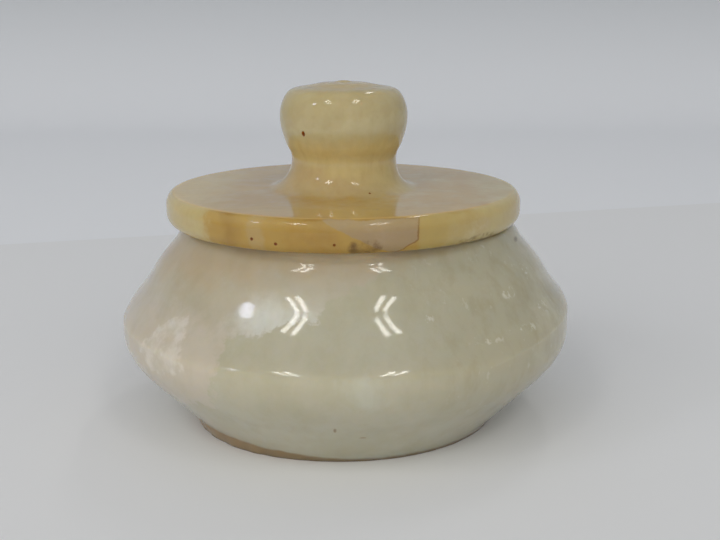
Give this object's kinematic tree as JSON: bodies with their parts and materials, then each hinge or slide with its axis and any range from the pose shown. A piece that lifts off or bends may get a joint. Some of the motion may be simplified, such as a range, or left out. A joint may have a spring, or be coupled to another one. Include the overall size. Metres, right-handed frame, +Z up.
{
  "type": "lidded stone jar",
  "caption": "Squat turned jar of polished banded onyx marble on a narrow foot, hollow, with a flat disc lid and mushroom knob that lifts off.",
  "frame": {"origin": "centre of the foot's underside, where the jar rests", "axes": "+Z up along the turning axis of the body, -Y towards the side with the whitish cloud in the stone, +X to that side's right"},
  "size_m": [0.1, 0.1, 0.0747],
  "materials": {
    "body_onyx": "polished onyx marble, pale grey-green with whitish clouds",
    "lid_onyx": "polished onyx marble, cream and honey amber"
  },
  "bodies": {
    "root": {"jar_body": "body_onyx", "lid": "lid_onyx"}
  },
  "joints": []
}
